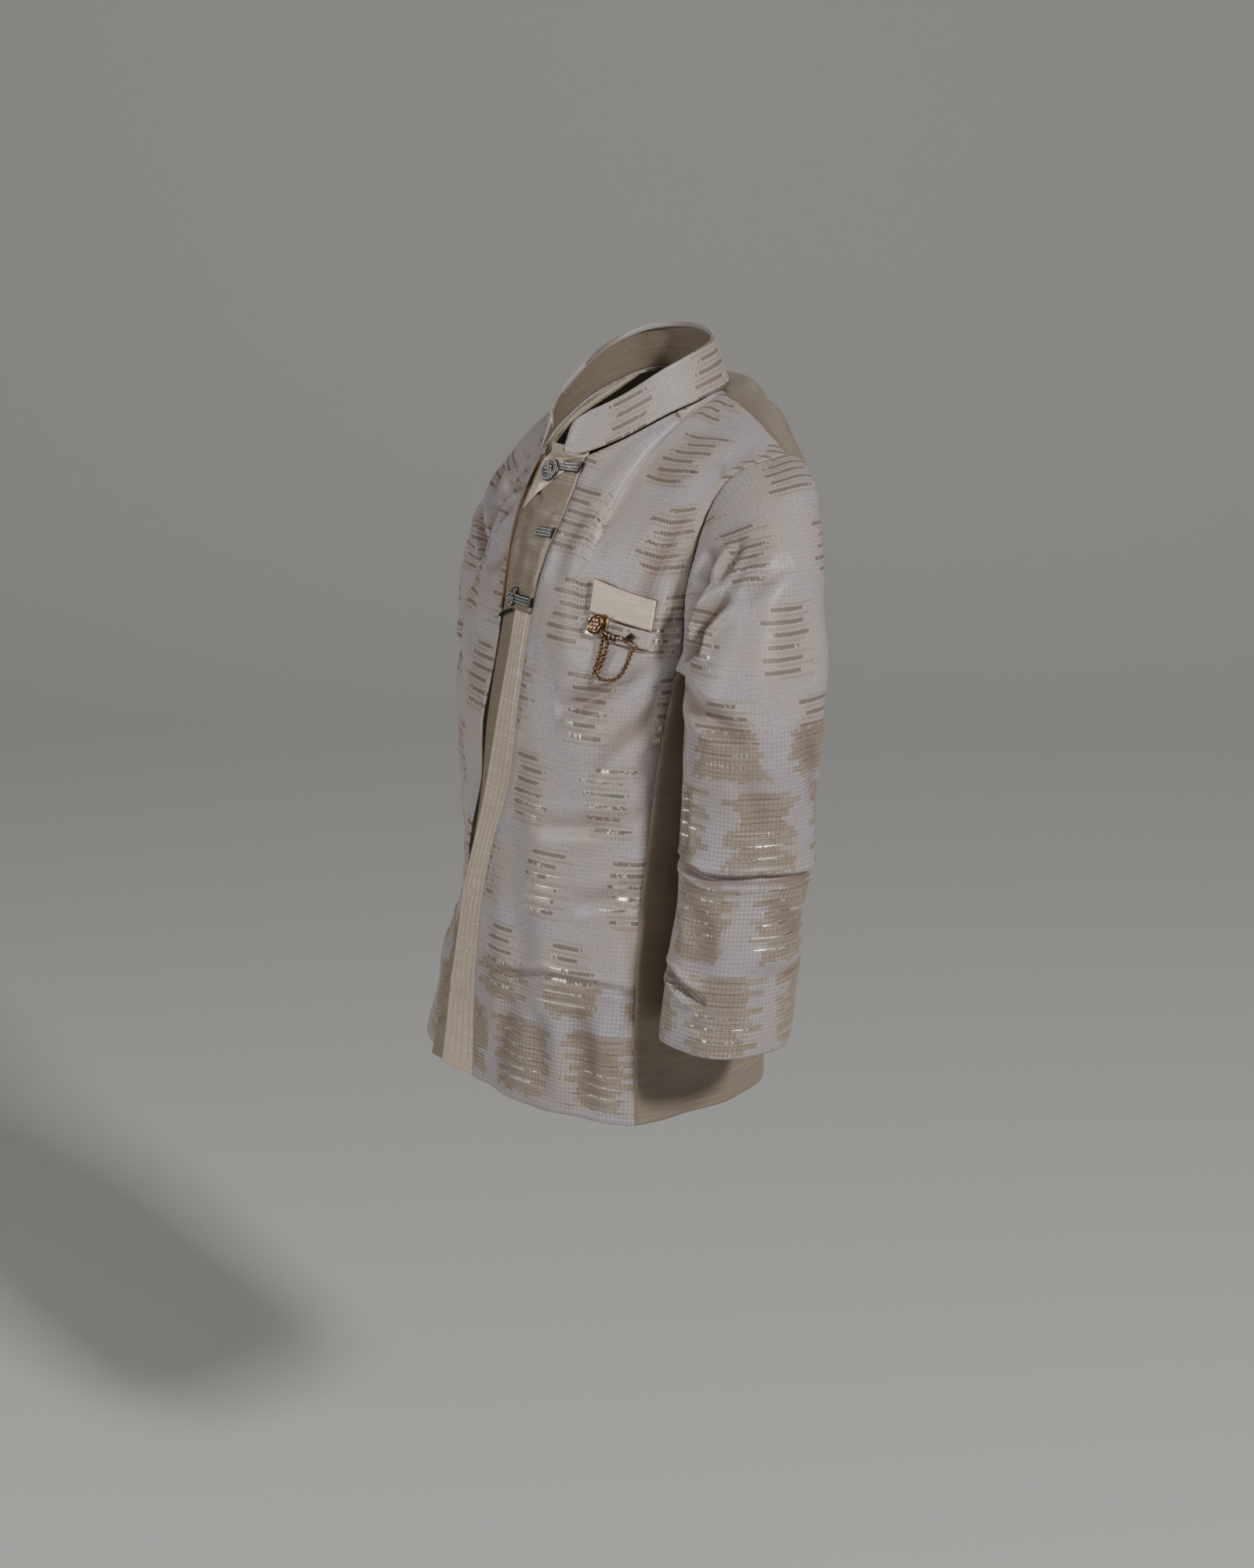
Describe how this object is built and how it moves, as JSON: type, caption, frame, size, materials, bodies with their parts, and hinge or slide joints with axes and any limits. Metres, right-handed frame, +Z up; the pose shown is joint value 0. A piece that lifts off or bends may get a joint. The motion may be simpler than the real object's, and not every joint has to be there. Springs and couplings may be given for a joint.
{
  "type": "sherwani coat",
  "caption": "Child's short sherwani coat, worn shape: hollow body with stand collar, two straight sleeves, off-centre placket with jewelled fastenings, chest pocket square and brooch.",
  "frame": {"origin": "middle of the neck opening, level with the side of the neck, where the coat hangs from the wearer's shoulders", "axes": "+Z up, the wearer's left is +X and the wearer faces -Y"},
  "size_m": [0.5088, 0.2553, 0.5805],
  "materials": {
    "brocade": "lilac and ivory jacquard brocade with dark metallic weft bars",
    "silk": "champagne dupion silk, slubbed, soft sheen",
    "piping_satin": "amber satin piping",
    "black_cord": "black twisted cord",
    "silver_stones": "silver set with clear stones",
    "antique_gold": "antique gold with clear stones"
  },
  "bodies": {
    "root": {"left_front": "brocade", "right_front": "brocade", "left_sleeve": "brocade", "right_sleeve": "brocade", "collar": "brocade", "pocket_welt": "brocade", "back": "silk", "collar_lining": "silk", "placket": "silk", "topstitched_band": "silk", "centre_panel": "silk", "pocket_square": "silk", "edge_piping": "piping_satin", "placket_end_cord": "black_cord", "top_button": "silver_stones", "third_button": "silver_stones", "loop_bar_1": "silver_stones", "loop_bar_2": "silver_stones", "loop_bar_3": "silver_stones", "brooch_medallion": "antique_gold", "brooch_bar": "antique_gold", "brooch_stone": "antique_gold", "brooch_chain_drop_1": "antique_gold", "brooch_chain_drop_2": "antique_gold", "brooch_chain_swag": "antique_gold"}
  },
  "joints": []
}
